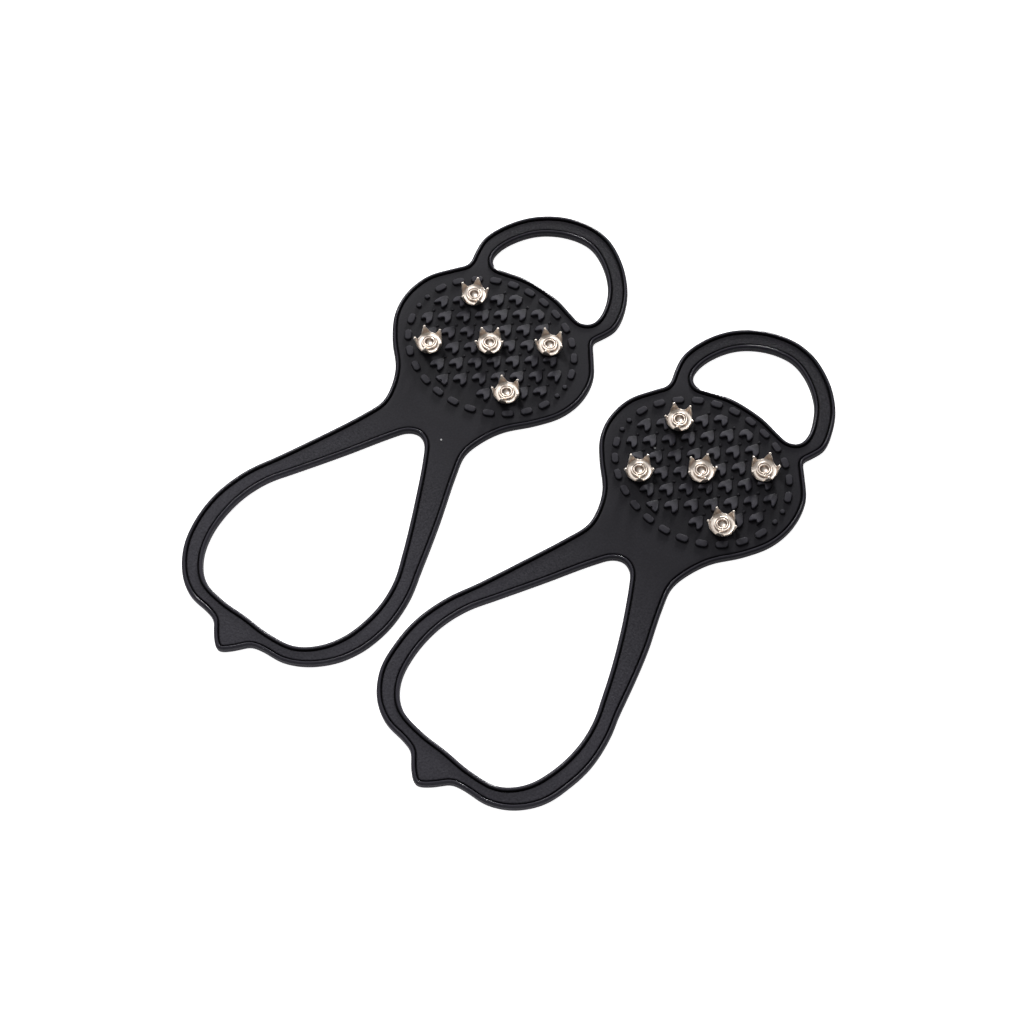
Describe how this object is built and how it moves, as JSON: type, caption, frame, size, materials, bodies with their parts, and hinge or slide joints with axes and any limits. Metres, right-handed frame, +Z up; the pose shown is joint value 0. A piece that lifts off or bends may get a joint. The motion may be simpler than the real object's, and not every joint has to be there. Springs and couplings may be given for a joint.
{
  "type": "shoe ice cleats",
  "caption": "Pair of pull-on rubber ice cleats: a lugged tread plate with star-crown steel studs, a short toe loop and a long heel loop with a pull tab.",
  "frame": {"origin": "middle of the pair's bounding box, at the level that the mouldings lie on", "axes": "+Z up, out of the studs; +Y along the cleats, from the heel loops to the toe loops; +X from the left cleat to the right one"},
  "size_m": [0.1986, 0.254, 0.0083],
  "materials": {
    "rubber": "moulded, soft matt with a satin bead along every edge",
    "stud_plating": "stamped sheet, bright warm nickel plating, burnished at the points",
    "rivet_plating": "rolled and dimpled rim, bright plating",
    "washer_zinc": "plain zinc plating"
  },
  "bodies": {
    "left_plate": {"left_tread_plate": "rubber", "left_stud_front_left_crown": "stud_plating", "left_stud_front_left_rivet": "rivet_plating", "left_stud_front_left_washer": "washer_zinc", "left_stud_front_right_crown": "stud_plating", "left_stud_front_right_rivet": "rivet_plating", "left_stud_front_right_washer": "washer_zinc", "left_stud_centre_crown": "stud_plating", "left_stud_centre_rivet": "rivet_plating", "left_stud_centre_washer": "washer_zinc", "left_stud_rear_left_crown": "stud_plating", "left_stud_rear_left_rivet": "rivet_plating", "left_stud_rear_left_washer": "washer_zinc", "left_stud_rear_right_crown": "stud_plating", "left_stud_rear_right_rivet": "rivet_plating", "left_stud_rear_right_washer": "washer_zinc"},
    "left_toe": {"left_toe_loop": "rubber"},
    "left_heel": {"left_heel_loop": "rubber"},
    "right_plate": {"right_tread_plate": "rubber", "right_stud_front_left_crown": "stud_plating", "right_stud_front_left_rivet": "rivet_plating", "right_stud_front_left_washer": "washer_zinc", "right_stud_front_right_crown": "stud_plating", "right_stud_front_right_rivet": "rivet_plating", "right_stud_front_right_washer": "washer_zinc", "right_stud_centre_crown": "stud_plating", "right_stud_centre_rivet": "rivet_plating", "right_stud_centre_washer": "washer_zinc", "right_stud_rear_left_crown": "stud_plating", "right_stud_rear_left_rivet": "rivet_plating", "right_stud_rear_left_washer": "washer_zinc", "right_stud_rear_right_crown": "stud_plating", "right_stud_rear_right_rivet": "rivet_plating", "right_stud_rear_right_washer": "washer_zinc"},
    "right_toe": {"right_toe_loop": "rubber"},
    "right_heel": {"right_heel_loop": "rubber"}
  },
  "joints": [
    {"name": "left_toe_flex", "type": "hinge", "parent": "left_plate", "child": "left_toe", "pos_m": [-0.05138, 0.08789, 0.0036], "axis": [1, 0, 0], "range_deg": [0, 100], "stiffness_Nm_per_rad": 0.02},
    {"name": "left_heel_flex", "type": "hinge", "parent": "left_plate", "child": "left_heel", "pos_m": [-0.05138, 0.00039, 0.0036], "axis": [-1, 0, 0], "range_deg": [0, 100], "stiffness_Nm_per_rad": 0.03},
    {"name": "right_toe_flex", "type": "hinge", "parent": "right_plate", "child": "right_toe", "pos_m": [0.05432, 0.09089, 0.0036], "axis": [1, 0, 0], "range_deg": [0, 100], "stiffness_Nm_per_rad": 0.02},
    {"name": "right_heel_flex", "type": "hinge", "parent": "right_plate", "child": "right_heel", "pos_m": [0.05432, 0.00339, 0.0036], "axis": [-1, 0, 0], "range_deg": [0, 100], "stiffness_Nm_per_rad": 0.03},
    {"name": "right_cleat_lift", "type": "slide", "parent": "left_plate", "child": "right_plate", "axis": [0, 0, 1], "range_m": [0, 0.1]}
  ]
}
